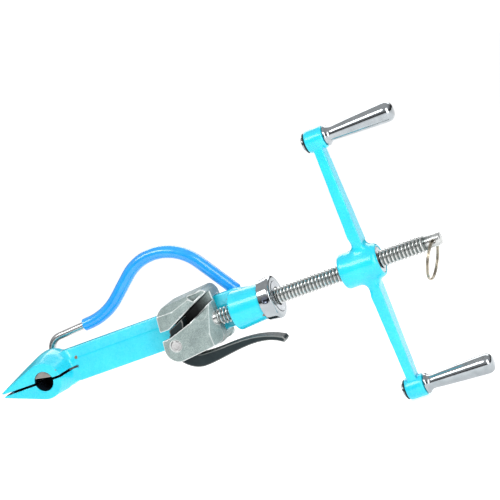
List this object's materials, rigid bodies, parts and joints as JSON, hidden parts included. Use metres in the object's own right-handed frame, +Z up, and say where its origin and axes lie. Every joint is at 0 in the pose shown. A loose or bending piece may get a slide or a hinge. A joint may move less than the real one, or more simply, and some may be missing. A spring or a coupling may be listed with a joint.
{
  "type": "strapping tensioner tool",
  "caption": "Hand tool that tightens steel strap: slotted nose with swinging cutter, gripping block on a bar, and a screw turned by a two-armed crank.",
  "frame": {"origin": "middle of the mouth of the strap slot in the nose, level with the tension screw", "axes": "+X along the tool from nose to crank, +Z up towards the cutter handle, -Y is the open side where strap is put in"},
  "size_m": [0.4045, 0.0547, 0.229],
  "materials": {
    "blue_paint": "glossy sky-blue enamel over cast steel",
    "chrome_plate": "polished chrome",
    "race_steel": "ground steel",
    "cage_brass": "stamped brass",
    "bright_steel": "bright steel",
    "screw_steel": "rolled zinc-plated thread",
    "cutter_steel": "hardened tool steel",
    "blasted_zinc": "pale grey blasted and plated casting",
    "black_oxide": "black oxide",
    "blue_vinyl": "glossy dipped vinyl"
  },
  "bodies": {
    "frame": {"tool_body": "blue_paint", "cutter_keeper_pin": "bright_steel", "thrust_cap": "chrome_plate", "front_race": "race_steel"},
    "ball_ring": {"ball_cage": "cage_brass", "thrust_balls": "bright_steel"},
    "bearing_plate": {"rear_race": "race_steel"},
    "carriage": {"gripper_block": "blasted_zinc", "gripper_pin": "bright_steel", "tension_screw": "screw_steel", "screw_roll_pin": "black_oxide"},
    "lever": {"gripper_lever": "black_oxide"},
    "nut": {"thread_bush": "race_steel"},
    "crank": {"crank_arms": "blue_paint", "washer_top": "black_oxide", "washer_bottom": "black_oxide"},
    "top_grip": {"handle_top": "chrome_plate"},
    "bottom_grip": {"handle_bottom": "chrome_plate"},
    "cutter": {"cutter_shaft": "cutter_steel", "cutter_rod": "bright_steel", "cutter_sleeve": "blue_vinyl"},
    "ring": {"split_ring": "bright_steel"}
  },
  "joints": [
    {"name": "plate_turn", "type": "hinge", "parent": "frame", "child": "bearing_plate", "pos_m": [0.2575, 0, 0], "axis": [1, 0, 0], "continuous": true},
    {"name": "balls_roll", "type": "hinge", "parent": "frame", "child": "ball_ring", "pos_m": [0.2555, 0, 0], "axis": [1, 0, 0], "continuous": true},
    {"name": "carriage_slide", "type": "slide", "parent": "frame", "child": "carriage", "axis": [1, 0, 0], "range_m": [-0.031, 0.0145]},
    {"name": "lever_swing", "type": "hinge", "parent": "carriage", "child": "lever", "pos_m": [0.1666, 0, -0.009], "axis": [0, 1, 0], "range_deg": [0, 28]},
    {"name": "nut_travel", "type": "slide", "parent": "carriage", "child": "nut", "axis": [-1, 0, 0], "range_m": [-0.0362, 0.0242]},
    {"name": "crank_turn", "type": "hinge", "parent": "nut", "child": "crank", "pos_m": [0.339, 0, 0], "axis": [-1, 0, 0], "range_deg": [-4176, 2772]},
    {"name": "top_grip_spin", "type": "hinge", "parent": "crank", "child": "top_grip", "pos_m": [0.349, 0, 0.1055], "axis": [1, 0, 0], "continuous": true},
    {"name": "bottom_grip_spin", "type": "hinge", "parent": "crank", "child": "bottom_grip", "pos_m": [0.349, 0, -0.1055], "axis": [1, 0, 0], "continuous": true},
    {"name": "cutter_lift", "type": "hinge", "parent": "frame", "child": "cutter", "pos_m": [0.042, 0, 0], "axis": [0, -1, 0], "range_deg": [0, 95]},
    {"name": "ring_swing", "type": "hinge", "parent": "carriage", "child": "ring", "pos_m": [0.3957, 0, 0], "axis": [0, 1, 0], "range_deg": [-60, 40]}
  ],
  "couplings": [
    {"joint": "balls_roll", "follows": "plate_turn", "ratio": 0.5},
    {"joint": "nut_travel", "follows": "crank_turn", "m_per_rad": 0.00049338}
  ]
}
